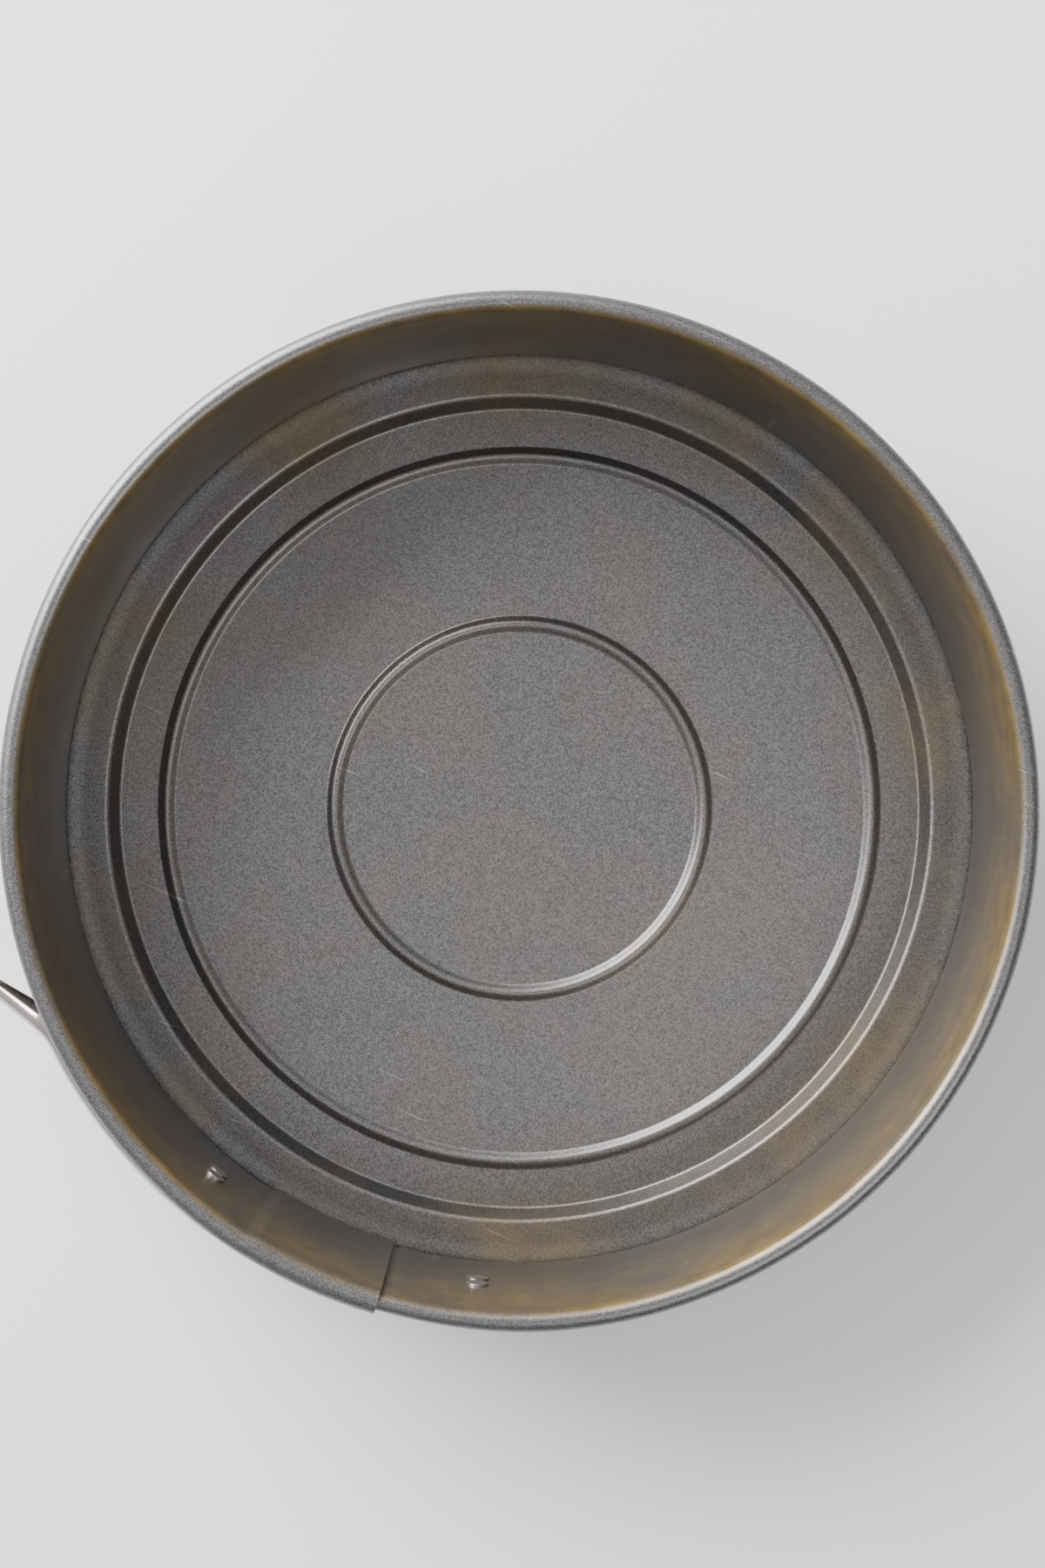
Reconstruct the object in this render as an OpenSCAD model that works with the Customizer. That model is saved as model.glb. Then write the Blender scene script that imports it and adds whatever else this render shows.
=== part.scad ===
// Round springform baking pan: a split steel side band that grips a loose base plate,
// closed by an over-centre lever, a wire bail and a hook.
// Millimetres. +Z is up, the pan stands on z = 0 and the origin is on its axis.
// The band's seam is at -Y. Angles are degrees about +Z from +X.

/* [Side band] */
// Inside diameter of the closed band
inner_d = 229; // [203:1:254]
// Height from the table to the top of the rim
pan_h = 70; // [62:1:80]
// Thickness of the steel sheet
sheet = 0.5; // [0.45:0.05:0.55]
// Outside diameter of the rolled rim
bead_d = 5; // [4.8:0.1:5.2]
// How far the outer end's rim stands proud of the plain rim
bead_step = 0.6; // [0.6:0.05:0.8]
// Height of the base groove's middle
groove_z = 4.6; // [4.5:0.1:6]

/* [Base plate] */
// Thickness of the base sheet
base_sheet = 0.6; // [0.5:0.05:0.8]
// Width of the raised shelf round the base
shelf_w = 10; // [8:0.5:14]
// Height of the two stiffening rings
ring_h = 1.2; // [1:0.1:1.6]

/* [Lever] */
// Height of the lever
lever_h = 16; // [15:0.5:18]
// Thickness of the lever sheet
lever_sheet = 1.1; // [1:0.05:1.2]
// Distance between the lever's hinge pin and the bail's hinge
crank = 9.95; // [9:0.05:11]
// Radius of the finger tip seen from the front
tip_r = 2.4; // [2.2:0.1:3]
// How far the lever follows the band before it flares away, as an angle
lever_wrap = 28; // [24:1:30]
// Turn of the flare away from the band, as an angle
flare_turn = 27; // [22:0.5:28]

/* [Bail and hook] */
// Diameter of the bail wire
wire_d = 2.2; // [2:0.1:2.4]
// Height between the bail's two arms
bail_h = 20.8; // [20.6:0.2:22]
// Free play between the bail's bar and the hook's lip
hook_play = 1.35; // [1.2:0.05:1.6]

/* [Hidden] */
$fn = 96;
// Overlap of the band's two ends. Half a degree more or less leaves a band end in several solids.
lap_angle = 15;
split_gap = 0.4;            // between neighbouring lengths of the band
lap_gap = 0.5;              // between the two sheets in the overlap
fit_gap = 0.02;             // round a rivet or a pressed pin
run_gap = 0.06;             // round a turning pin

inner_r = inner_d / 2;
bead_r = bead_d / 2;
bead_c = inner_r + bead_r;  // radius of the rim's core circle
bead_z = pan_h - bead_r;
foot_z = 0.5;
wall_out = inner_r + sheet;

seam_a = 270;
outer_end_a = seam_a + lap_angle / 2;
inner_end_a = seam_a - lap_angle / 2;
segment_a = 72;
split_half_a = atan(split_gap / 2 / bead_c);
step_a = 0.35;              // angle in which a profile steps to its overlap shape
cover_step_before = 1.2;    // the outer end steps this far before the inner end starts
core_step_after = 0.25;     // the inner end steps this far past the outer end

lap_c = bead_c - 0.1;
lap_outer_r = bead_r + bead_step;
lap_inner_r = lap_outer_r - sheet - lap_gap;
cover_wall = lap_c - lap_outer_r;

groove_c = inner_r + 0.7;
groove_r = 2.2;
groove_lap_in = groove_r + 0.1;
groove_lap_out = groove_lap_in - lap_gap - sheet;

base_edge_t = 1.2;
base_edge_r = groove_c + groove_lap_out - 0.4;
base_hem = 3.2;
shelf_in = inner_r - shelf_w;
slope_w = 2.5;
ring_radii = [shelf_in * 0.45, shelf_in * 0.86];
ring_bend_r = 2.6;

latch_z = pan_h * 0.51;
plate_t = 1.1;
plate_h = 13.2;
plate_r = wall_out + 0.05;
pin_a = 258.5;
pin_c = plate_r + 5.25;
pin_r = 1.5;
pin_head_r = 2.7;
pin_head_t = 0.7;
ear_r = 2.8;
bracket_from = 251.8;
bracket_to = 261;
bracket_rivet_a = 253.8;

lever_out = pin_c + 4.3;
lever_in = lever_out - lever_sheet;
pivot_r = 4.3;
web_start = 4;
bend_r = 14;
tip_taper = 18.5;
flare_l = (lever_h / 2 - tip_r / cos(tip_taper)) / tan(tip_taper);
flange_end = 2.6;
flange_tip = 1.7;

wire_r = wire_d / 2;
bail_c = pin_c + 0.6;
bar_a = 281.5;
bail_bend = 3;
stub_bend = 2.2;
fuller = 0.02;              // a bend is this much fuller than the straight run that ends in it
sunk = 0.05;                // how far a straight run reaches into its bend
tuck = 0.03;                // the flare's straight sides meet its round end this far inside it
hinge_c = sqrt(bail_c * bail_c + stub_bend * stub_bend);
bail_a = pin_a - asin(crank / hinge_c);
arm_from = bail_a + atan(stub_bend / bail_c);
arm_to = bar_a - atan(bail_bend / bail_c);
stub_end = lever_h / 2 - 2.2;

rivet_r = 1.5;
rivet_head_r = 2.6;
rivet_head_h = 1.1;
rivet_spread = 3.4;
hook_to = 293;
hook_rivet_a = 288.5;
lip_face_a = bar_a - asin((wire_r + hook_play) / bail_c);
lip_top = bail_c + 0.7;

// ---------- helpers ----------

module at_angle(a, r, z) {
    rotate([0, 0, a - 90]) translate([0, r, z]) children();
}

// Sector of a flat ring about the origin, from angle a0 to a1.
module ring_sector(r_in, r_out, a0, a1) {
    far = 2 * r_out;
    intersection() {
        difference() {
            circle(r_out);
            circle(r_in);
        }
        polygon([
            [0, 0],
            [far * cos(a0), far * sin(a0)],
            [far * cos((a0 + a1) / 2), far * sin((a0 + a1) / 2)],
            [far * cos(a1), far * sin(a1)]
        ]);
    }
}

// Curved plate that hugs the band, from angle a0 to a1.
module arc_plate(a0, a1, r_in, thick, height) {
    rotate([0, 0, a0])
        rotate_extrude(angle = a1 - a0)
            translate([r_in, latch_z - height / 2]) square([thick, height]);
}

// ---------- side band ----------

// Section of the band: rolled rim, wall, base groove and foot.
// core is the rim's core radius, roll its outside radius, groove the groove's inside radius.
module band_section(core, roll, groove, folded) {
    wall = core - roll;
    difference() {
        union() {
            translate([core, bead_z]) circle(roll);
            translate([wall, foot_z]) square([sheet, bead_z - foot_z]);
            intersection() {
                translate([groove_c, groove_z]) circle(groove + sheet);
                translate([wall, 0]) square([10, 2 * groove_z]);
            }
            if (folded) {
                translate([wall, foot_z + sheet]) square([2 * sheet, groove_z - foot_z - sheet - groove]);
                translate([wall + sheet, foot_z + sheet]) circle(sheet);
            }
        }
        translate([core, bead_z]) circle(roll - sheet);
        translate([groove_c, groove_z]) circle(groove);
        translate([wall - 1, groove_z - groove]) square([groove_c - wall + 1, 2 * groove]);
    }
}

module plain_section() {
    band_section(bead_c, bead_r, groove_r, true);
}

// Section of the outer end where its larger rim covers the inner end's rim.
module cover_section() {
    difference() {
        band_section(lap_c, lap_outer_r, groove_lap_out, false);
        translate([lap_c - lap_inner_r - lap_gap, bead_z - lap_outer_r - 1])
            square([sheet + 2 * lap_gap, lap_outer_r + 1]);
    }
}

// Section of the inner end where its smaller rim runs inside the outer end's rim.
module core_section() {
    band_section(lap_c, lap_inner_r, groove_lap_in, true);
}

// Thick section that joins two sections at the short step between them.
module step_section(core, roll, bore, wall, wall_t, groove_in, groove_out) {
    difference() {
        union() {
            translate([core, bead_z]) circle(roll);
            translate([wall, foot_z]) square([wall_t, bead_z - foot_z]);
            translate([wall, foot_z]) square([wall_t + sheet, groove_z - foot_z - groove_in]);
            intersection() {
                translate([groove_c, groove_z]) circle(groove_out);
                translate([wall, 0]) square([10, 2 * groove_z]);
            }
        }
        translate([lap_c, bead_z]) circle(bore);
        translate([groove_c, groove_z]) circle(groove_in);
        translate([wall - 1, groove_z - groove_in]) square([groove_c - wall + 1, 2 * groove_in]);
    }
}

module sweep(a0, a1) {
    rotate([0, 0, a0]) rotate_extrude(angle = a1 - a0) children();
}

module rivet_holes(a) {
    for (side = [-1, 1])
        at_angle(a, plate_r - 4, latch_z + side * rivet_spread)
            rotate([-90, 0, 0]) cylinder(h = 10, r = rivet_r + fit_gap);
}

module plain_length(a0, a1) {
    sweep(a0 + split_half_a, a1 - split_half_a) plain_section();
}

module band_back() {
    color("dimgray") plain_length(90 - segment_a / 2, 90 + segment_a / 2);
}

module band_left_side() {
    color("dimgray") plain_length(90 + segment_a / 2, 90 + 1.5 * segment_a);
}

module band_right_side() {
    color("dimgray") plain_length(90 - 1.5 * segment_a, 90 - segment_a / 2);
}

// Outer end: its rim is enlarged over the overlap, and it carries the lever bracket.
module band_left_end() {
    step_from = inner_end_a - cover_step_before;
    color("dimgray") difference() {
        union() {
            sweep(90 + 1.5 * segment_a + split_half_a, step_from) plain_section();
            sweep(step_from, step_from + step_a)
                step_section(
                    lap_c, lap_outer_r, bead_r - sheet - 0.15,
                    cover_wall, wall_out - cover_wall, groove_lap_out - 0.05, groove_r + sheet + 0.05
                );
            sweep(step_from + step_a, outer_end_a) cover_section();
        }
        rivet_holes(bracket_rivet_a);
    }
}

// Inner end: its rim is drawn in over the overlap, and it carries the hook bracket.
module band_right_end() {
    step_from = outer_end_a + core_step_after;
    color("dimgray") difference() {
        union() {
            sweep(inner_end_a, step_from) core_section();
            sweep(step_from, step_from + step_a)
                step_section(
                    bead_c, bead_r + 0.05, lap_inner_r - sheet - 0.05,
                    inner_r, cover_wall + lap_gap + 2 * sheet - inner_r,
                    groove_r - 0.05, groove_lap_in + sheet + 0.05
                );
            sweep(step_from + step_a, 450 - 1.5 * segment_a - split_half_a) plain_section();
        }
        rivet_holes(hook_rivet_a);
    }
}

// ---------- base plate ----------

module base_plate() {
    color("dimgray") rotate_extrude() difference() {
        union() {
            square([shelf_in - slope_w, base_sheet]);
            polygon([
                [shelf_in - slope_w - 0.5, 0],
                [shelf_in - slope_w + 0.2, 0],
                [shelf_in + 0.2, groove_z - base_sheet / 2],
                [shelf_in + 0.2, groove_z + base_sheet / 2],
                [shelf_in - 0.3, groove_z + base_sheet / 2],
                [shelf_in - slope_w - 0.5, base_sheet]
            ]);
            translate([shelf_in, groove_z - base_sheet / 2])
                square([base_edge_r - base_edge_t - shelf_in, base_sheet]);
            translate([base_edge_r - base_hem, groove_z - base_edge_t / 2])
                square([base_hem - base_edge_t / 2, base_edge_t]);
            translate([base_edge_r - base_edge_t / 2, groove_z]) circle(base_edge_t / 2);
            for (r = ring_radii)
                translate([r, ring_h + base_sheet - ring_bend_r]) circle(ring_bend_r);
        }
        for (r = ring_radii)
            translate([r, ring_h + base_sheet - ring_bend_r]) circle(ring_bend_r - base_sheet);
        translate([-1, -10]) square([inner_r, 10]);
    }
}

// ---------- latch ----------

// Puts what is drawn about the lever's hinge pin in place: x runs along the band away
// from the seam, y outwards.
module at_pin() {
    at_angle(pin_a, pin_c, latch_z) children();
}

module ear_outline() {
    difference() {
        union() {
            circle(ear_r);
            translate([-ear_r, -pin_c + plate_r]) square([2 * ear_r, pin_c - plate_r]);
        }
        translate([0, -pin_c]) circle(plate_r);
        circle(pin_r + fit_gap);
    }
}

module lever_bracket() {
    color("silver") difference() {
        union() {
            arc_plate(bracket_from, bracket_to, plate_r, plate_t, plate_h);
            at_pin() for (side = [0, 1])
                mirror([0, 0, side])
                    translate([0, 0, plate_h / 2 - plate_t]) linear_extrude(plate_t) ear_outline();
        }
        rivet_holes(bracket_rivet_a);
    }
}

module lever_pin() {
    half = lever_h / 2 + 0.2;
    color("gainsboro") at_pin() {
        translate([0, 0, -half - sunk]) cylinder(h = 2 * (half + sunk), r = pin_r);
        for (side = [0, 1])
            mirror([0, 0, side]) translate([0, 0, half]) cylinder(h = pin_head_t, r = pin_head_r);
    }
}

// The lever is a channel whose open side faces the band. Each of its three lengths is cut
// from one block, and each is a hair fuller than the one before it, so that they join cleanly.

// Block of the given outline and height, centred on the latch's height.
module block(height) {
    translate([0, 0, -height / 2]) linear_extrude(height) children();
}

// First length: holds both hinges and follows the band. Its flanges are deep at the hinge.
module lever_wrap_part() {
    end_r = lever_out - flange_end;
    difference() {
        block(lever_h) {
            circle(pivot_r);
            intersection() {
                translate([0, -pin_c]) circle(lever_out);
                polygon([
                    [0, -3.9],
                    [12, -4.1],
                    [end_r * sin(lever_wrap), end_r * cos(lever_wrap) - pin_c],
                    [2 * lever_out * sin(lever_wrap), 2 * lever_out * cos(lever_wrap) - pin_c],
                    [0, lever_out]
                ]);
            }
        }
        block(lever_h - 2 * lever_sheet) {
            translate([0, -pin_c]) circle(lever_in);
            translate([-10, -10]) square([10 + web_start, 20]);
        }
    }
}

// Second length: the bend where the lever turns away from the band.
module lever_bend_part() {
    translate([(lever_out + bend_r) * sin(lever_wrap), (lever_out + bend_r) * cos(lever_wrap) - pin_c, 0])
        difference() {
            block(lever_h + 2 * fuller)
                ring_sector(
                    bend_r - fuller, bend_r + flange_end + fuller,
                    270 - lever_wrap - 0.2, 270 - lever_wrap + flare_turn
                );
            block(lever_h - 2 * lever_sheet - 2 * fuller) difference() {
                circle(3 * bend_r);
                circle(bend_r + lever_sheet + fuller);
            }
        }
}

// Front outline of the flare, grown all round.
module tip_outline(grown) {
    r = tip_r + grown;
    half = r / cos(tip_taper) + flare_l * tan(tip_taper);
    translate([flare_l, 0]) circle(r);
    polygon([
        [-sunk, -half],
        [flare_l + r * sin(tip_taper), -r * cos(tip_taper) + tuck],
        [flare_l + r * sin(tip_taper), r * cos(tip_taper) - tuck],
        [-sunk, half]
    ]);
}

// Third length: the flare with its rounded tip. Its rim gets lower towards the tip.
module lever_flare_part() {
    turn = flare_turn - lever_wrap;
    grown = 2 * fuller;
    translate([
        (lever_out + bend_r) * sin(lever_wrap) + bend_r * sin(turn),
        (lever_out + bend_r) * cos(lever_wrap) - pin_c - bend_r * cos(turn),
        0
    ]) rotate([0, 0, turn]) intersection() {
        rotate([90, 0, 0]) difference() {
            translate([0, 0, -grown]) linear_extrude(flange_end + 1) tip_outline(grown);
            translate([0, 0, lever_sheet + grown]) linear_extrude(flange_end + 2) union() {
                tip_outline(-lever_sheet - grown);
                translate([-2, grown + lever_sheet - lever_h / 2])
                    square([2, lever_h - 2 * lever_sheet - 2 * grown]);
            }
        }
        block(2 * lever_h) polygon([
            [-1, 1],
            [-1, -flange_end - grown],
            [0, -flange_end - grown],
            [flare_l + tip_r + 1, -flange_tip],
            [flare_l + tip_r + 1, 1]
        ]);
    }
}

module lever() {
    color("silver") at_pin() difference() {
        union() {
            lever_wrap_part();
            lever_bend_part();
            lever_flare_part();
        }
        translate([0, 0, -lever_h]) cylinder(h = 2 * lever_h, r = pin_r + run_gap);
        translate([hinge_c * sin(pin_a - bail_a), hinge_c * cos(pin_a - bail_a) - pin_c, -lever_h])
            cylinder(h = 2 * lever_h, r = wire_r + run_gap);
    }
}

// Quarter bend of the wire about the origin, in the plane of x and z, from angle a0.
module wire_bend(radius, a0) {
    rotate([90, 0, 0]) rotate([0, 0, a0])
        rotate_extrude(angle = 90) translate([radius, 0]) circle(wire_r + fuller);
}

// Wire loop: two arms that follow the band, a bar for the hook, and two turned-in ends.
module bail() {
    arm_z = bail_h / 2;
    sunk_a = atan(sunk / bail_c);
    color("gainsboro") {
        for (side = [0, 1]) translate([0, 0, latch_z]) mirror([0, 0, side]) {
            rotate([0, 0, arm_from - sunk_a])
                rotate_extrude(angle = arm_to - arm_from + 2 * sunk_a)
                    translate([bail_c, arm_z]) circle(wire_r);
            at_angle(arm_from, bail_c, arm_z - stub_bend) {
                wire_bend(stub_bend, 0);
                translate([stub_bend, 0, stub_end - arm_z + stub_bend])
                    cylinder(h = arm_z - stub_bend - stub_end + sunk, r = wire_r);
            }
            at_angle(arm_to, bail_c, arm_z - bail_bend) wire_bend(bail_bend, 90);
        }
        at_angle(arm_to, bail_c, latch_z - arm_z + bail_bend - sunk) translate([-bail_bend, 0, 0])
            cylinder(h = 2 * (arm_z - bail_bend + sunk), r = wire_r);
    }
}

module hook_bracket() {
    lip_a = lip_face_a - asin(plate_t / 2 / lip_top);
    color("silver") difference() {
        union() {
            arc_plate(lip_a, hook_to, plate_r, plate_t, plate_h);
            at_angle(lip_a, plate_r, latch_z - plate_h / 2) {
                translate([-plate_t / 2, 0.1, 0]) cube([plate_t, lip_top - plate_r - 0.1, plate_h]);
                translate([0, lip_top - plate_r, 0]) cylinder(h = plate_h, r = plate_t / 2);
            }
        }
        rivet_holes(hook_rivet_a);
    }
}

// Rivet through the band: low inside head, shank and domed outside head.
module rivet(a, side) {
    seat = plate_r + plate_t + fit_gap - inner_r;
    cap_r = (rivet_head_r * rivet_head_r + rivet_head_h * rivet_head_h) / 2 / rivet_head_h;
    at_angle(a, inner_r, latch_z + side * rivet_spread) rotate([-90, 0, 0]) rotate_extrude() union() {
        translate([0, -0.6]) square([rivet_head_r, 0.55]);
        translate([0, -0.1]) square([rivet_r, seat + 0.2]);
        intersection() {
            translate([0, seat]) square([rivet_head_r, rivet_head_h]);
            translate([0, seat + rivet_head_h - cap_r]) circle(cap_r);
        }
    }
}

module bracket_rivet_upper() {
    color("gainsboro") rivet(bracket_rivet_a, 1);
}

module bracket_rivet_lower() {
    color("gainsboro") rivet(bracket_rivet_a, -1);
}

module hook_rivet_upper() {
    color("gainsboro") rivet(hook_rivet_a, 1);
}

module hook_rivet_lower() {
    color("gainsboro") rivet(hook_rivet_a, -1);
}

base_plate();
band_back();
band_left_side();
band_left_end();
band_right_side();
band_right_end();
lever_bracket();
lever_pin();
lever();
bail();
hook_bracket();
bracket_rivet_upper();
bracket_rivet_lower();
hook_rivet_upper();
hook_rivet_lower();
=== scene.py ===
"""Springform pan, seen from straight above on a pale studio floor.

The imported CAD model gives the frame, the joints and the small latch fittings. This script draws
the sheet-metal pieces as real bent sheet (side band, base plate, lever and wire bail), gives every
piece its material, and sets the floor, the lights and the camera.
Metres. +Z is up, the origin is on the pan's axis on the floor, and the seam is at -Y.
"""

import math

import bpy
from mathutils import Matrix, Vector, noise


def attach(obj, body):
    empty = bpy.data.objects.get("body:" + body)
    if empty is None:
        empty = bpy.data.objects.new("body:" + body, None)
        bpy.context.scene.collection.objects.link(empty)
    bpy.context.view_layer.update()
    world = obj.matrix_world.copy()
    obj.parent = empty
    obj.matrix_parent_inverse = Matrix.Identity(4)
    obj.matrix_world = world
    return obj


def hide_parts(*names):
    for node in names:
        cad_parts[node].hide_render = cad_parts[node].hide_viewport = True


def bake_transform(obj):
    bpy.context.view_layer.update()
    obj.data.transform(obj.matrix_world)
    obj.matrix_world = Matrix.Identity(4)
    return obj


MM = 0.001

# ---------- sizes, as in the CAD ----------

INNER_R = 114.5 * MM
PAN_H = 70 * MM
SHEET = 0.5 * MM
BEAD_R = 2.5 * MM
BEAD_STEP = 0.6 * MM
LAP_GAP = 0.5 * MM
FOOT_Z = 0.5 * MM
GROOVE_Z = 4.6 * MM
GROOVE_R = 2.2 * MM
GROOVE_C = INNER_R + 0.7 * MM
BEAD_C = INNER_R + BEAD_R
BEAD_Z = PAN_H - BEAD_R
LAP_SHIFT = 0.1 * MM
LAP_C = BEAD_C - LAP_SHIFT
COVER_ROLL = BEAD_R + BEAD_STEP
CORE_ROLL = COVER_ROLL - SHEET - LAP_GAP

SEAM = math.radians(270)
LAP = math.radians(15)
OUTER_END = SEAM + LAP / 2
INNER_END = SEAM - LAP / 2
SEGMENT = math.radians(72)
BACK = math.radians(90)

BASE_SHEET = 0.6 * MM
SHELF_IN = INNER_R - 10 * MM
SLOPE_W = 2.5 * MM
RING_H = 1.2 * MM
RING_HALF = 2.4 * MM
RING_RADII = (SHELF_IN * 0.45, SHELF_IN * 0.86)
BASE_EDGE_T = 1.2 * MM
BASE_EDGE_R = GROOVE_C + 0.9 * MM
BASE_HEM = 3.2 * MM

LATCH_Z = PAN_H * 0.51
PIN_A = math.radians(258.5)
PIN_C = INNER_R + SHEET + 5.3 * MM
LEVER_H = 16 * MM
LEVER_SHEET = 1.1 * MM
LEVER_OUT = PIN_C + 4.3 * MM
LEVER_WRAP = math.radians(28)
FLARE_TURN = math.radians(27)
LEVER_BEND_R = 14 * MM
LEVER_FOLD = 1.6 * MM         # outside radius of the fold between web and flange
WEB_START = 4 * MM
FLANGE_DEEP = 8.1 * MM        # depth of the flanges at the hinge
FLANGE_SHALLOW = 2.6 * MM     # and where the lever starts to taper
FLANGE_TIP = 1.7 * MM         # and round the tip
FLANGE_FALL = 34 * MM         # distance along the lever where they start to get shallower
FLANGE_POINTS = 6             # points across a flange
TIP_R = 2.4 * MM
TIP_TAPER = math.radians(18.5)
WIRE_R = 1.1 * MM
BAIL_C = PIN_C + 0.6 * MM
BAIL_H = 20.8 * MM
BAR_A = math.radians(281.5)
STUB_BEND = 2.2 * MM
BAIL_BEND = 3 * MM
CRANK = 9.95 * MM

CAMERA_H = 0.60                   # lens above the rim
CAMERA_RIGHT = 0.8 * MM           # lens off the pan's axis, to the picture's right
CAMERA_UP = 6.2 * MM              # lens off the pan's axis, to the picture's top
CAMERA_ROLL = math.radians(23.6)  # turn of the picture about the pan's axis
RIM_ACROSS = 0.99717              # share of the picture's width that the rim fills
SENSOR_W = 24
KEY_BEARING = 158                 # degrees
ROOM_DIM = 0.24                   # room's light opposite the key light
ROOM_BRIGHT = 1.15                # room's light on the key light's side


def mix(a, b, t):
    return a + (b - a) * t


def smooth(t):
    t = min(max(t, 0.0), 1.0)
    return t * t * (3 - 2 * t)


# ---------- meshes ----------


def add_mesh(name, verts, faces, normals=None):
    mesh = bpy.data.meshes.new(name)
    mesh.from_pydata([tuple(v) for v in verts], [], faces)
    mesh.validate()
    for polygon in mesh.polygons:
        polygon.use_smooth = True
    if normals:
        mesh.normals_split_custom_set_from_vertices([tuple(n) for n in normals])
    obj = bpy.data.objects.new(name, mesh)
    bpy.context.scene.collection.objects.link(obj)
    return obj


def arc(centre, radius, a0, a1, steps):
    """Points of an arc, as (across, up), from angle a0 to a1."""
    angles = [mix(a0, a1, i / steps) for i in range(steps + 1)]
    return [(centre[0] + radius * math.cos(a), centre[1] + radius * math.sin(a)) for a in angles]


def line(start, end, steps):
    """Points between two points, without the ends."""
    return [
        (mix(start[0], end[0], i / steps), mix(start[1], end[1], i / steps)) for i in range(1, steps)
    ]


def rounded(corners, radius, steps):
    """The line through corners, as (across, up), with each inner corner rounded."""
    path = [corners[0]]
    for before, corner, after in zip(corners, corners[1:], corners[2:]):
        b, c, a = Vector(before), Vector(corner), Vector(after)
        into, out = (c - b).normalized(), (a - c).normalized()
        turn = into.angle_signed(out)
        reach = radius * math.tan(abs(turn) / 2)
        start = c - into * reach
        side = Vector((into.y, -into.x)) * (1 if turn > 0 else -1)
        centre = start + side * radius
        spoke = start - centre
        for i in range(steps + 1):
            angle = -turn * i / steps
            path.append(
                (
                    centre.x + spoke.x * math.cos(angle) - spoke.y * math.sin(angle),
                    centre.y + spoke.x * math.sin(angle) + spoke.y * math.cos(angle),
                )
            )
    path.append(corners[-1])
    return path


def thicken(midline, thickness):
    """Closed outline of a sheet from its middle line; thickness(i) is the sheet's at point i."""
    left, right = [], []
    for i, (x, z) in enumerate(midline):
        before = midline[max(i - 1, 0)]
        after = midline[min(i + 1, len(midline) - 1)]
        along = Vector((after[0] - before[0], after[1] - before[1])).normalized()
        half = thickness(i) / 2
        left.append((x - along.y * half, z + along.x * half))
        right.append((x + along.y * half, z - along.x * half))
    return left, right


def swept(name, outline_at, angles, capped=(False, False), sway=lambda a: (0.0, 0.0)):
    """Sheet swept about Z. outline_at(angle) gives its two sides, sway(angle) its small dents.

    Normals are worked out from the shape just beyond each end too, so two pieces that share
    an end look like one.
    """

    def ring(angle):
        left, right = outline_at(angle)
        dr, dz = sway(angle)
        loop = list(left) + list(reversed(right))
        return [
            Vector(((r + dr) * math.cos(angle), (r + dr) * math.sin(angle), z + dz)) for r, z in loop
        ]

    step = 1e-4
    verts, normals, faces = [], [], []
    for angle in angles:
        here, before, after = ring(angle), ring(angle - step), ring(angle + step)
        count = len(here)
        for i, point in enumerate(here):
            around = here[(i + 1) % count] - here[i - 1]
            normals.append(around.cross(after[i] - before[i]).normalized())
            verts.append(point)
    for k in range(len(angles) - 1):
        for i in range(count):
            j = (i + 1) % count
            faces.append((k * count + i, k * count + j, (k + 1) * count + j, (k + 1) * count + i))
    for wanted, k, facing in ((capped[0], 0, -1), (capped[1], len(angles) - 1, 1)):
        if wanted:
            add_cap(verts, normals, faces, verts[k * count : (k + 1) * count], angles[k], facing)
    return add_mesh(name, verts, faces, normals)


def add_cap(verts, normals, faces, loop, angle, facing):
    """Cut end of a sheet: quads between its two sides."""
    first, half = len(verts), len(loop) // 2
    verts.extend(loop)
    normals.extend([Vector((-math.sin(angle), math.cos(angle), 0)) * facing] * len(loop))
    for i in range(half - 1):
        quad = (i, i + 1, 2 * half - 2 - i, 2 * half - 1 - i)
        quad = quad if facing > 0 else quad[::-1]
        faces.append(tuple(first + v for v in quad))


# ---------- side band ----------


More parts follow.
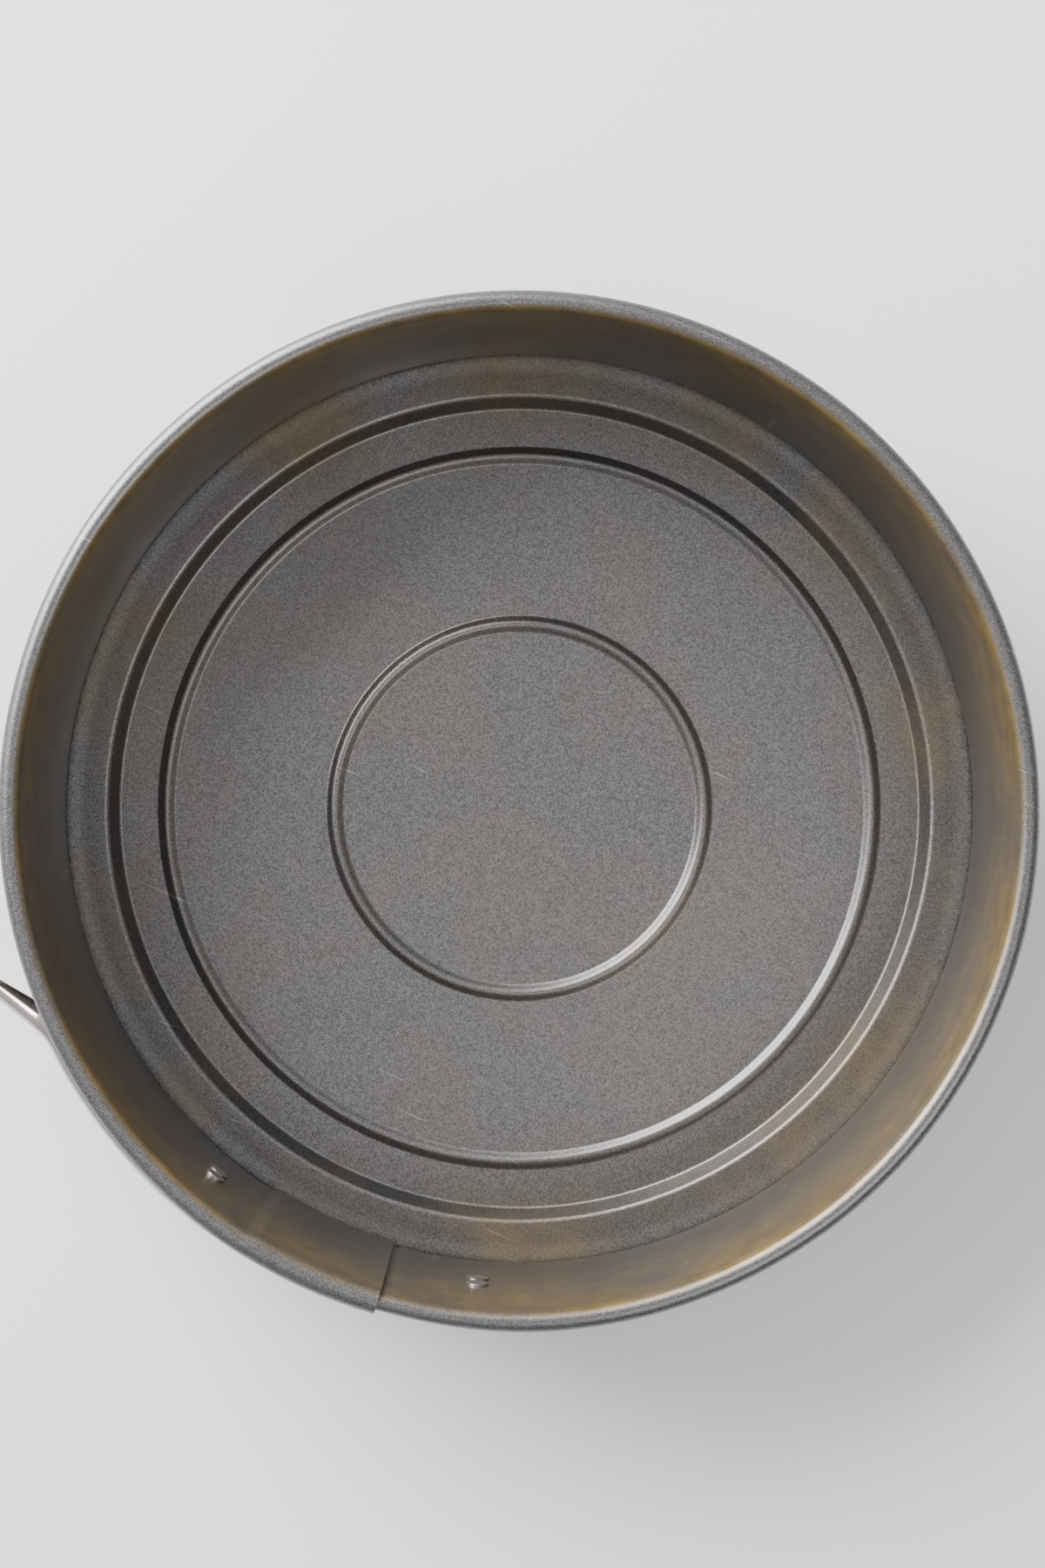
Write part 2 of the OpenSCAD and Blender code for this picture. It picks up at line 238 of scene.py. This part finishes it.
class Section:
    """Where the band's sheet runs: rolled rim, wall, base groove and foot."""

    def __init__(self, core, core_z, roll, groove, curl_end, fold):
        self.core = core          # radius of the rolled rim's core circle
        self.core_z = core_z      # height of that circle
        self.roll = roll          # outside radius of the roll
        self.groove = groove      # inside radius of the base groove
        self.curl_end = curl_end  # angle in the roll where the sheet ends
        self.fold = fold          # 1 where the foot is folded up outside, 0 where it is plain

    def toward(self, other, t):
        pairs = zip(vars(self).values(), vars(other).values())
        return Section(*(mix(a, b, t) for a, b in pairs))

    def midline(self):
        roll_mid = self.roll - SHEET / 2
        wall = self.core - roll_mid
        fillet = 0.8 * MM  # where the wall turns into the groove
        groove_mid = self.groove + SHEET / 2
        across = wall + fillet - GROOVE_C
        rise = math.sqrt((fillet + groove_mid) ** 2 - across**2)
        lean = math.atan2(rise, across)
        top, bottom = (wall + fillet, GROOVE_Z + rise), (wall + fillet, GROOVE_Z - rise)
        path = arc((self.core, self.core_z), roll_mid, self.curl_end, math.pi, 40)
        path += line((wall, self.core_z), (wall, top[1]), 24)
        path += arc(top, fillet, math.pi, math.pi + lean, 6)
        path += arc((GROOVE_C, GROOVE_Z), groove_mid, lean, -lean, 14)[1:]
        path += arc(bottom, fillet, math.pi - lean, math.pi, 6)[1:]
        return path + self.foot(wall, bottom[1])

    def foot(self, wall, start_z):
        flap = 0.3 * MM
        turn_r = SHEET * 0.53
        turn_z = FOOT_Z + SHEET / 2 + turn_r
        folded = arc((wall + turn_r, turn_z), turn_r, math.pi, 2 * math.pi, 10)
        folded.append((wall + 2 * turn_r, turn_z + flap))
        count = len(folded)
        plain = [(wall, mix(turn_z, FOOT_Z, (i + 1) / count)) for i in range(count)]
        middle = (wall, (start_z + turn_z) / 2)
        return [middle] + [
            (mix(p[0], f[0], self.fold), mix(p[1], f[1], self.fold)) for p, f in zip(plain, folded)
        ]

    def outline(self):
        return thicken(self.midline(), lambda i: SHEET)


PLAIN_CURL = math.radians(-152)
COVER_CURL = math.radians(-105)
CORE_CURL = math.radians(-150)
CORE_GROOVE = GROOVE_R + LAP_SHIFT
COVER_GROOVE = CORE_GROOVE - LAP_GAP - SHEET
PLAIN = Section(BEAD_C, BEAD_Z, BEAD_R, GROOVE_R, PLAIN_CURL, 1.0)
COVER = Section(LAP_C, BEAD_Z, COVER_ROLL, COVER_GROOVE, COVER_CURL, 0.0)
CORE = Section(LAP_C, BEAD_Z, CORE_ROLL, CORE_GROOVE, CORE_CURL, 1.0)


def eased_toward(end):
    """The plain section with its roll as wide outside and as high as an end's, its wall unmoved."""
    spare = (end.core + end.roll - BEAD_C - BEAD_R) / 2
    lift = end.roll - BEAD_R - spare
    return Section(BEAD_C + spare, BEAD_Z + lift, BEAD_R + spare, GROOVE_R, PLAIN_CURL, 1.0)


LATCH_SIDE = math.radians(20)    # how far from its end the rolled rim starts to change width
WALL_STEP = math.radians(2.1)    # how far the wall's own step takes
STEP_CLEAR = math.radians(0.1)   # between a step and the other end
COVER_STEP = INNER_END - STEP_CLEAR - WALL_STEP
CORE_STEP = OUTER_END - 2 * math.pi + STEP_CLEAR
DENT_FREE = math.radians(26)     # no dents this near the seam
DENT_FADE = math.radians(24)     # how far the dents take to reach their full size


def outer_end_outline(angle):
    eased = PLAIN.toward(eased_toward(COVER), smooth((angle - COVER_STEP) / LATCH_SIDE + 1))
    return eased.toward(COVER, smooth((angle - COVER_STEP) / WALL_STEP)).outline()


def inner_end_outline(angle):
    eased = eased_toward(CORE).toward(PLAIN, smooth((angle - CORE_STEP) / LATCH_SIDE))
    return CORE.toward(eased, smooth((angle - CORE_STEP) / WALL_STEP)).outline()


def hand_worn(angle):
    """Small dents of a used band: how far it is out and up at an angle. None near the latch."""
    from_seam = abs((angle - SEAM + math.pi) % (2 * math.pi) - math.pi)
    share = smooth((from_seam - DENT_FREE) / DENT_FADE)
    place = Vector((math.cos(angle), math.sin(angle), 0.0))
    out = 0.10 * noise.noise(place * 2.3) + 0.05 * noise.noise(place * 9.0) - 0.07
    up = 0.06 * noise.noise(place * 3.1 + Vector((5, 0, 0))) - 0.04
    return share * out * MM, share * up * MM


def spread(a0, a1, step, fine_near=(), finer=5):
    """Angles from a0 to a1, closer together near the given angles."""
    angles, a = [a0], a0
    while a < a1 - 1e-9:
        near = any(-step < a - f < WALL_STEP for f in fine_near)
        a = min(a + (step / finer if near else step), a1)
        angles.append(a)
    return angles


def blend_at(piece):
    """Moves the piece's placement into its mesh."""
    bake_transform(piece)


def side_band():
    step = math.radians(0.5)
    left_mid, right_mid = BACK + SEGMENT, BACK - SEGMENT

    def plain(angle):
        return PLAIN.outline()

    outer_end = swept(
        "band_outer_end",
        outer_end_outline,
        spread(left_mid, OUTER_END, step, [COVER_STEP]),
        (False, True),
        hand_worn,
    )
    left = swept("band_left", plain, spread(BACK, left_mid, step), sway=hand_worn)
    right = swept("band_right", plain, spread(right_mid, BACK, step), sway=hand_worn)
    inner_end = swept(
        "band_inner_end",
        inner_end_outline,
        spread(INNER_END - 2 * math.pi, right_mid, step, [CORE_STEP]),
        (True, False),
        hand_worn,
    )
    blend_at(outer_end)
    blend_at(left)
    blend_at(right)
    blend_at(inner_end)
    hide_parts("band_left_end")
    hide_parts("band_left_side", "band_back")
    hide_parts("band_right_side")
    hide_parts("band_right_end")
    return [outer_end, left, right, inner_end]


# ---------- base plate ----------


def base_plate():
    field_z = BASE_SHEET / 2
    slope_in = SHELF_IN - SLOPE_W
    hub = 0.01 * MM
    path = [(hub, field_z)]
    for ring in RING_RADII:
        for i in range(17):
            off = RING_HALF * (i / 8 - 1)
            rise = RING_H * (0.5 + 0.5 * math.cos(math.pi * off / RING_HALF))
            path.append((ring + off, field_z + rise))
    slope = [
        (slope_in - 4 * MM, field_z),
        (slope_in, field_z),
        (SHELF_IN, GROOVE_Z),
        (SHELF_IN + 5 * MM, GROOVE_Z),
    ]
    path += rounded(slope, radius=1.3 * MM, steps=5)
    hem_start = BASE_EDGE_R - BASE_HEM
    thinnest = 0.03 * MM
    path += [(hem_start - 0.8 * MM, GROOVE_Z), (hem_start, GROOVE_Z)]
    half = BASE_EDGE_T / 2
    for i in range(1, 10):
        path.append((BASE_EDGE_R - half + half * math.sin(math.pi / 2 * i / 9), GROOVE_Z))

    def thickness(i):
        r = path[i][0]
        if r < hem_start - 0.1 * MM:
            return BASE_SHEET
        past = max(r - (BASE_EDGE_R - half), 0)
        return 2 * math.sqrt(max(half**2 - past**2, thinnest**2))

    sides = thicken(path, thickness)
    turns = 360
    obj = swept("base_disc", lambda a: sides, [2 * math.pi * i / turns for i in range(turns + 1)])
    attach(obj, "base")
    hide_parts("base_plate")
    return obj


# ---------- lever and bail ----------


def lever_place(s):
    """Plan position and outward direction of the lever's outside face at distance s."""
    wrap_l = LEVER_OUT * LEVER_WRAP
    bend_l = LEVER_BEND_R * FLARE_TURN
    angle = PIN_A - min(s, wrap_l) / LEVER_OUT
    out = Vector((math.cos(angle), math.sin(angle), 0))
    along = Vector((out.y, -out.x, 0))
    place = out * LEVER_OUT
    if s <= wrap_l:
        return place, out
    turn = min(s - wrap_l, bend_l) / LEVER_BEND_R
    centre = out * (LEVER_OUT + LEVER_BEND_R)
    heading = along * math.cos(turn) + out * math.sin(turn)
    outward = out * math.cos(turn) - along * math.sin(turn)
    place = centre - outward * LEVER_BEND_R
    return place + heading * max(s - wrap_l - bend_l, 0), outward


def lever_stations():
    """Along the lever: (distance, half height, outline's normal, flange's two edges, has a web)."""
    half = LEVER_H / 2
    near, deep = LEVER_FOLD, FLANGE_DEEP
    flare_s = LEVER_OUT * LEVER_WRAP + LEVER_BEND_R * FLARE_TURN
    flare_l = (half - TIP_R / math.cos(TIP_TAPER)) / math.tan(TIP_TAPER)
    round_s = flare_s + flare_l + TIP_R * math.sin(TIP_TAPER)
    stations = []

    ear_mid, ear_r = (near + deep) / 2, (deep - near) / 2
    for i in range(1, 13):
        a = math.pi / 2 * i / 12
        reach = ear_r * math.sin(a)
        stations.append((-ear_r * math.cos(a), half, (0, 1), ear_mid - reach, ear_mid + reach, False))
    stations.append((WEB_START * 0.5, half, (0, 1), near, deep, False))

    count = 60
    for i in range(count + 1):
        s = mix(WEB_START, flare_s, i / count)
        edge = mix(deep, FLANGE_SHALLOW, smooth((s - FLANGE_FALL) / (flare_s - FLANGE_FALL)))
        stations.append((s, half, (0, 1), near, edge, True))
    lean = (math.sin(TIP_TAPER), math.cos(TIP_TAPER))
    for i in range(1, 15):
        s = mix(flare_s, round_s, i / 14)
        edge = mix(FLANGE_SHALLOW, FLANGE_TIP, i / 14)
        stations.append((s, half - (s - flare_s) * math.tan(TIP_TAPER), lean, near, edge, True))
    for i in range(1, 19):
        a = mix(math.pi / 2 - TIP_TAPER, 0, i / 18)
        s = flare_s + flare_l + TIP_R * math.cos(a)
        normal = (math.cos(a), math.sin(a))
        stations.append((s, TIP_R * math.sin(a), normal, near, FLANGE_TIP, True))
    return stations


def lever_rows(station):
    """One cross-section of the lever, from the upper flange's edge round to the lower one's."""
    s, z, normal, near, far, webbed = station
    last = FLANGE_POINTS - 1
    flange = [(s, z, -mix(far, near, j / last)) for j in range(FLANGE_POINTS)]
    upper = list(flange)
    if webbed:
        for j in range(1, 7):
            a = math.pi / 2 * j / 6
            inset = near * (1 - math.cos(a))
            upper.append((s - inset * normal[0], z - inset * normal[1], -near * (1 - math.sin(a))))
        inner_s, inner_z, _ = upper[-1]
        web = [(inner_s, mix(inner_z, -inner_z, j / 8), 0) for j in range(1, 8)]
        return upper + web + [(p[0], -p[1], p[2]) for p in reversed(upper)]
    return upper


def lever():
    verts, faces = [], []

    def place_row(row, flip=1):
        first = len(verts)
        for s, z, n in row:
            place, out = lever_place(s)
            verts.append(place + out * n + Vector((0, 0, LATCH_Z + z * flip)))
        return list(range(first, first + len(row)))

    def join(a, b):
        for i in range(min(len(a), len(b)) - 1):
            faces.append((a[i], a[i + 1], b[i + 1], b[i]))

    last_upper = last_lower = last_full = None
    for station in lever_stations():
        row = lever_rows(station)
        if station[-1]:
            full = place_row(row)
            if last_full:
                join(last_full, full)
            else:
                join(last_upper, full[:FLANGE_POINTS])
                join(full[: -FLANGE_POINTS - 1 : -1], last_lower)
            last_full = full
        else:
            upper, lower = place_row(row), place_row(row, -1)
            if last_upper:
                join(last_upper, upper)
                join(lower, last_lower)
            last_upper, last_lower = upper, lower
    obj = add_mesh("lever_arm", verts, faces)
    weld = obj.modifiers.new("weld", "WELD")
    weld.merge_threshold = 0.002 * MM
    skin = obj.modifiers.new("sheet", "SOLIDIFY")
    skin.thickness = LEVER_SHEET
    skin.offset = -1
    soften(obj, 0.4 * MM)
    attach(obj, "lever_arm")
    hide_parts("lever")
    return obj


def soften(obj, width):
    """Rounds an object's sharp edges."""
    bevel = obj.modifiers.new("edges", "BEVEL")
    bevel.width = width
    bevel.segments = 3
    bevel.limit_method = "ANGLE"
    bevel.angle_limit = math.radians(50)


def wire_half():
    """Upper half of the bail's centre line, from the lever's hinge to the middle of the bar."""
    hinge_c = math.hypot(BAIL_C, STUB_BEND)
    arm_from = PIN_A - math.asin(CRANK / hinge_c) + math.atan2(STUB_BEND, BAIL_C)
    arm_to = BAR_A - math.atan2(BAIL_BEND, BAIL_C)
    top = BAIL_H / 2
    stub_in = 2.2 * MM  # how far the stub reaches through the lever's flange

    def point(angle, along, up):
        out = Vector((math.cos(angle), math.sin(angle), 0))
        return out * BAIL_C + Vector((out.y, -out.x, 0)) * along + Vector((0, 0, LATCH_Z + up))

    points = [point(arm_from, STUB_BEND, LEVER_H / 2 - stub_in)]
    for i in range(9):
        a = math.pi / 2 * i / 8
        points.append(
            point(arm_from, STUB_BEND * math.cos(a), top - STUB_BEND * (1 - math.sin(a)))
        )
    points += [point(mix(arm_from, arm_to, i / 30), 0, top) for i in range(1, 30)]
    for i in range(11):
        a = math.pi / 2 * (1 + i / 10)
        points.append(point(arm_to, BAIL_BEND * math.cos(a), top - BAIL_BEND * (1 - math.sin(a))))
    return points


def round_wire(name, points, radius, sides=14):
    """Closed round wire along a smooth line."""
    verts, faces = [], []
    side = (points[1] - points[0]).orthogonal()
    for k, point in enumerate(points):
        along = (points[min(k + 1, len(points) - 1)] - points[max(k - 1, 0)]).normalized()
        side = (side - along * side.dot(along)).normalized()
        up = along.cross(side)
        for i in range(sides):
            a = 2 * math.pi * i / sides
            verts.append(point + (side * math.cos(a) + up * math.sin(a)) * radius)
    for k in range(len(points) - 1):
        for i in range(sides):
            j = (i + 1) % sides
            faces.append((k * sides + i, k * sides + j, (k + 1) * sides + j, (k + 1) * sides + i))
    faces.append(tuple(reversed(range(sides))))
    faces.append(tuple(len(verts) - sides + i for i in range(sides)))
    return add_mesh(name, verts, faces)


def bail():
    upper = wire_half()
    lower = [Vector((p.x, p.y, 2 * LATCH_Z - p.z)) for p in reversed(upper)]
    obj = round_wire("bail_wire", upper + lower, WIRE_R)
    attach(obj, "bail_loop")
    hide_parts("bail")
    return obj


# ---------- materials ----------

COAT_DARK, COAT_LIGHT = (0.095, 0.091, 0.090, 1), (0.225, 0.217, 0.213, 1)
COAT_BLOTCH = (0.075, 0.072, 0.07, 1)
COAT_SCRATCHED = (0.44, 0.43, 0.42, 1)
# Golden-brown tint: baked-on film, and on the wall's inward faces also a painted golden reflection.
FILM_AND_REFLECTION_DARK, FILM_AND_REFLECTION_LIGHT = (0.060, 0.038, 0.014, 1), (0.29, 0.195, 0.062, 1)
NICKEL = (0.52, 0.475, 0.45)
ZINC = (0.60, 0.60, 0.59)
RIVET_STEEL = (0.52, 0.51, 0.50)
FLOOR_DARK, FLOOR_LIGHT = (0.78, 0.78, 0.79, 1), (0.83, 0.83, 0.835, 1)


class Finish:
    """A node material: shorthand for adding nodes and joining them to the shader."""

    def __init__(self, name):
        self.material = bpy.data.materials.new(name)
        self.material.use_nodes = True
        self.nodes = self.material.node_tree.nodes
        self.links = self.material.node_tree.links
        self.shader = self.nodes["Principled BSDF"]
        coordinates = self.nodes.new("ShaderNodeTexCoord").outputs
        self.place, self.normal = coordinates["Object"], coordinates["Normal"]

    def add(self, kind, **inputs):
        node = self.nodes.new(kind)
        for name, value in inputs.items():
            self.feed(node.inputs[name.replace("_", " ")], value)
        return node

    def feed(self, socket, value):
        if isinstance(value, bpy.types.NodeSocket):
            self.links.new(value, socket)
        else:
            socket.default_value = value

    def math(self, operation, a, b=0.0):
        node = self.nodes.new("ShaderNodeMath")
        node.operation = operation
        self.feed(node.inputs[0], a)
        self.feed(node.inputs[1], b)
        return node.outputs[0]

    def noise(self, scale, detail=3.0, place=None, roughness=0.5):
        return self.add(
            "ShaderNodeTexNoise",
            Vector=place or self.place,
            Scale=scale,
            Detail=detail,
            Roughness=roughness,
        ).outputs["Fac"]

    def range(self, value, low, high, to_low=0.0, to_high=1.0):
        node = self.add("ShaderNodeMapRange", Value=value)
        numbers = {"From Min": low, "From Max": high, "To Min": to_low, "To Max": to_high}
        for name, number in numbers.items():
            node.inputs[name].default_value = number
        return node.outputs["Result"]

    def blend(self, factor, a, b, kind="MIX"):
        node = self.nodes.new("ShaderNodeMix")
        node.data_type = "RGBA"
        node.blend_type = kind
        self.feed(node.inputs["Factor"], factor)
        self.feed(node.inputs["A"], a)
        self.feed(node.inputs["B"], b)
        return node.outputs["Result"]

    def stretched(self, scale, turn):
        node = self.add("ShaderNodeMapping", Vector=self.place)
        node.inputs["Scale"].default_value = scale
        node.inputs["Rotation"].default_value = (0, 0, turn)
        return node.outputs["Vector"]

    def bump(self, height, strength, distance):
        node = self.add("ShaderNodeBump", Height=height, Strength=strength, Distance=distance)
        self.links.new(node.outputs["Normal"], self.shader.inputs["Normal"])

    def outward(self):
        """How far the surface faces away from the pan's axis: 1 straight out, -1 straight in."""
        flat = self.add("ShaderNodeVectorMath")
        flat.operation = "MULTIPLY"
        self.feed(flat.inputs[0], self.place)
        flat.inputs[1].default_value = (1, 1, 0)
        way = self.add("ShaderNodeVectorMath")
        way.operation = "NORMALIZE"
        self.links.new(flat.outputs[0], way.inputs[0])
        dot = self.add("ShaderNodeVectorMath")
        dot.operation = "DOT_PRODUCT"
        self.links.new(way.outputs[0], dot.inputs[0])
        self.links.new(self.normal, dot.inputs[1])
        return dot.outputs["Value"]

    def radius_and_height(self):
        split = self.nodes.new("ShaderNodeSeparateXYZ")
        self.links.new(self.place, split.inputs[0])
        across = self.math("POWER", split.outputs["X"], 2.0)
        along = self.math("POWER", split.outputs["Y"], 2.0)
        return self.math("SQRT", self.math("ADD", across, along)), split.outputs["Z"]


def scratches(f, turn):
    """Long fine scratches in a few places, nearly all one way."""
    lines = f.range(f.noise(34, 2, f.stretched((1, 30, 1), turn)), 0.715, 0.745, 0.0, 0.55)
    places = f.range(f.noise(17, 2, f.stretched((1, 1, 1), turn)), 0.50, 0.62)
    return f.math("MULTIPLY", lines, places)


def coated_steel(name, stain_and_reflection_of):
    """Grey metallic non-stick coating with a fine grain, handling marks and a golden-brown tint: baked-on
    stain, and on the wall also a painted golden reflection.
    """
    f = Finish(name)
    grain = f.noise(2400, 3, roughness=0.6)
    blotch = f.noise(14, 5)
    grey = f.blend(f.range(grain, 0.35, 0.65), COAT_DARK, COAT_LIGHT)
    grey = f.blend(f.range(blotch, 0.35, 0.7, 0.0, 0.25), grey, COAT_BLOTCH)
    marks = f.math("MAXIMUM", scratches(f, 0.5), scratches(f, 2.1))
    grey = f.blend(marks, grey, COAT_SCRATCHED)
    # golden-brown tint: baked-on stain, and on the wall also a painted golden reflection
    stain_and_reflection = stain_and_reflection_of(f)
    brown = f.blend(f.noise(160, 4), FILM_AND_REFLECTION_DARK, FILM_AND_REFLECTION_LIGHT)
    f.feed(f.shader.inputs["Base Color"], f.blend(stain_and_reflection, grey, brown))
    f.feed(f.shader.inputs["Metallic"], f.range(stain_and_reflection, 0.0, 1.0, 0.92, 0.45))
    rough = f.math("ADD", f.range(blotch, 0.3, 0.7, 0.30, 0.40), f.range(grain, 0.3, 0.7, -0.03, 0.06))
    f.feed(f.shader.inputs["Roughness"], rough)
    f.bump(grain, 0.25, 0.06 * MM)
    return f.material


def wall_film_and_reflection(f):
    """Golden-brown tint inside the wall and on the inner edge of the rim: baked-on film, and on the inward
    faces also a painted golden reflection, strongest high up; brown specks all over.
    """
    _, height = f.radius_and_height()
    inside = f.range(f.outward(), -0.30, -0.80)
    high = f.range(height, PAN_H * 0.2, PAN_H * 0.9, 0.10, 0.9)
    patchy = f.range(f.noise(38, 5), 0.25, 0.6, 0.35, 1.0)
    # painted golden reflection with baked-on film: on inward faces, stronger higher up, in patches
    film_and_reflection = f.math("MULTIPLY", f.math("MULTIPLY", inside, high), patchy)
    specks = f.range(f.noise(300, 1), 0.775, 0.80, 0.0, 0.9)
    return f.math("MAXIMUM", film_and_reflection, specks)


def plate_stain(f):
    """Baked-on film on the base: strongest near the edge, in patches elsewhere."""
    radius, _ = f.radius_and_height()
    edge = f.range(radius, SHELF_IN - 12 * MM, SHELF_IN + 2 * MM, 0.10, 0.45)
    patchy = f.range(f.noise(26, 6), 0.42, 0.68)
    return f.math("MULTIPLY", edge, patchy)


def plated(name, colour, smear, grain_scale):
    """Bright plated steel with fine scratches; smear is its roughness where clean and smeared."""
    f = Finish(name)
    cloud = f.noise(60, 5)
    lines = f.noise(grain_scale, 3, f.stretched((1, 1, 14), 0.4))
    darker = tuple(c * 0.78 for c in colour) + (1,)
    f.feed(f.shader.inputs["Base Color"], f.blend(f.range(cloud, 0.35, 0.7), colour + (1,), darker))
    f.shader.inputs["Metallic"].default_value = 1.0
    rough = f.math("ADD", f.range(cloud, 0.3, 0.7, smear[0], smear[1]), f.range(lines, 0.4, 0.7, 0.0, 0.06))
    f.feed(f.shader.inputs["Roughness"], rough)
    f.bump(lines, 0.08, 0.02 * MM)
    return f.material


def floor_finish():
    f = Finish("floor")
    tone = f.range(f.noise(3, 4), 0.3, 0.7)
    f.feed(f.shader.inputs["Base Color"], f.blend(tone, FLOOR_DARK, FLOOR_LIGHT))
    f.shader.inputs["Roughness"].default_value = 0.55
    return f.material


def dress(obj, material):
    obj.data.materials.clear()
    obj.data.materials.append(material)


# ---------- studio ----------


def floor():
    size = 6.0
    corners = [(-size, -size, 0), (size, -size, 0), (size, size, 0), (-size, size, 0)]
    obj = add_mesh("studio_floor", corners, [(0, 1, 2, 3)])
    obj.data.materials.append(floor_finish())


def soft_light(name, bearing, elevation, distance, size, power):
    """Square soft light, aimed at the pan from a bearing and an elevation in degrees."""
    a, e = math.radians(bearing), math.radians(elevation)
    way = Vector((math.cos(a) * math.cos(e), math.sin(a) * math.cos(e), math.sin(e)))
    data = bpy.data.lights.new(name, "AREA")
    data.shape = "SQUARE"
    data.size = size
    data.energy = power
    obj = bpy.data.objects.new(name, data)
    obj.location = way * distance
    obj.rotation_euler = way.to_track_quat("Z", "Y").to_euler()
    bpy.context.scene.collection.objects.link(obj)


def studio():
    floor()
    soft_light("key", KEY_BEARING, elevation=33, distance=1.5, size=1.2, power=86)
    soft_light("fill", bearing=-25, elevation=60, distance=1.8, size=0.8, power=9)
    bpy.context.scene.world = room()


def room():
    """Soft light from all round, brightest on the key light's side and dim opposite."""
    world = bpy.data.worlds.new("studio")
    world.use_nodes = True
    nodes, links = world.node_tree.nodes, world.node_tree.links
    way = nodes.new("ShaderNodeVectorMath")
    way.operation = "DOT_PRODUCT"
    links.new(nodes.new("ShaderNodeTexCoord").outputs["Generated"], way.inputs[0])
    bearing = math.radians(KEY_BEARING)
    way.inputs[1].default_value = (math.cos(bearing), math.sin(bearing), 0.5)
    level = nodes.new("ShaderNodeMapRange")
    links.new(way.outputs["Value"], level.inputs["Value"])
    level.inputs["From Min"].default_value = -0.9
    level.inputs["From Max"].default_value = 1.0
    level.inputs["To Min"].default_value = ROOM_DIM
    level.inputs["To Max"].default_value = ROOM_BRIGHT
    links.new(level.outputs["Result"], nodes["Background"].inputs["Strength"])
    nodes["Background"].inputs["Color"].default_value = (0.98, 0.98, 1.0, 1)
    return world


def camera():
    """Straight above, a little off the pan's centre, with the seam at the lower left."""
    data = bpy.data.cameras.new("camera")
    data.sensor_fit = "HORIZONTAL"
    data.sensor_width = SENSOR_W
    data.lens = data.sensor_width * CAMERA_H * RIM_ACROSS / (2 * (BEAD_C + BEAD_R))
    obj = bpy.data.objects.new("camera", data)
    right = Vector((math.cos(CAMERA_ROLL), math.sin(CAMERA_ROLL), 0))
    up = Vector((-right.y, right.x, 0))
    obj.location = right * CAMERA_RIGHT + up * CAMERA_UP + Vector((0, 0, BEAD_Z + CAMERA_H))
    obj.rotation_euler = (0, 0, CAMERA_ROLL)
    bpy.context.scene.collection.objects.link(obj)
    bpy.context.scene.camera = obj


# ---------- the pan ----------

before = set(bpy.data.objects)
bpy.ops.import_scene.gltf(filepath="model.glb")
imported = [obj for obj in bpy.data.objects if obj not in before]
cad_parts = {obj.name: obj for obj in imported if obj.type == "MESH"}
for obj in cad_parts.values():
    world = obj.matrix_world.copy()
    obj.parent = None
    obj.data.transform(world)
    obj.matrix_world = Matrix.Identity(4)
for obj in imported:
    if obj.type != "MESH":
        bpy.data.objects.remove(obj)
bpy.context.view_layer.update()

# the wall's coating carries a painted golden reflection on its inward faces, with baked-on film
wall_coat = coated_steel("wall_coating", wall_film_and_reflection)
for length in side_band():
    dress(length, wall_coat)
dress(base_plate(), coated_steel("plate_coating", plate_stain))
dress(lever(), plated("bright_nickel", NICKEL, (0.12, 0.24), 700))

zinc = plated("zinc_plate", ZINC, (0.24, 0.38), 900)
dress(bail(), zinc)
for node in ("lever_bracket", "hook_bracket", "lever_pin"):
    soften(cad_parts[node], 0.15 * MM)
    dress(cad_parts[node], zinc)

rivet_steel = plated("rivet_steel", RIVET_STEEL, (0.28, 0.42), 1200)
for place in ("bracket", "hook"):
    for level in ("upper", "lower"):
        dress(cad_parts[f"{place}_rivet_{level}"], rivet_steel)

studio()
camera()
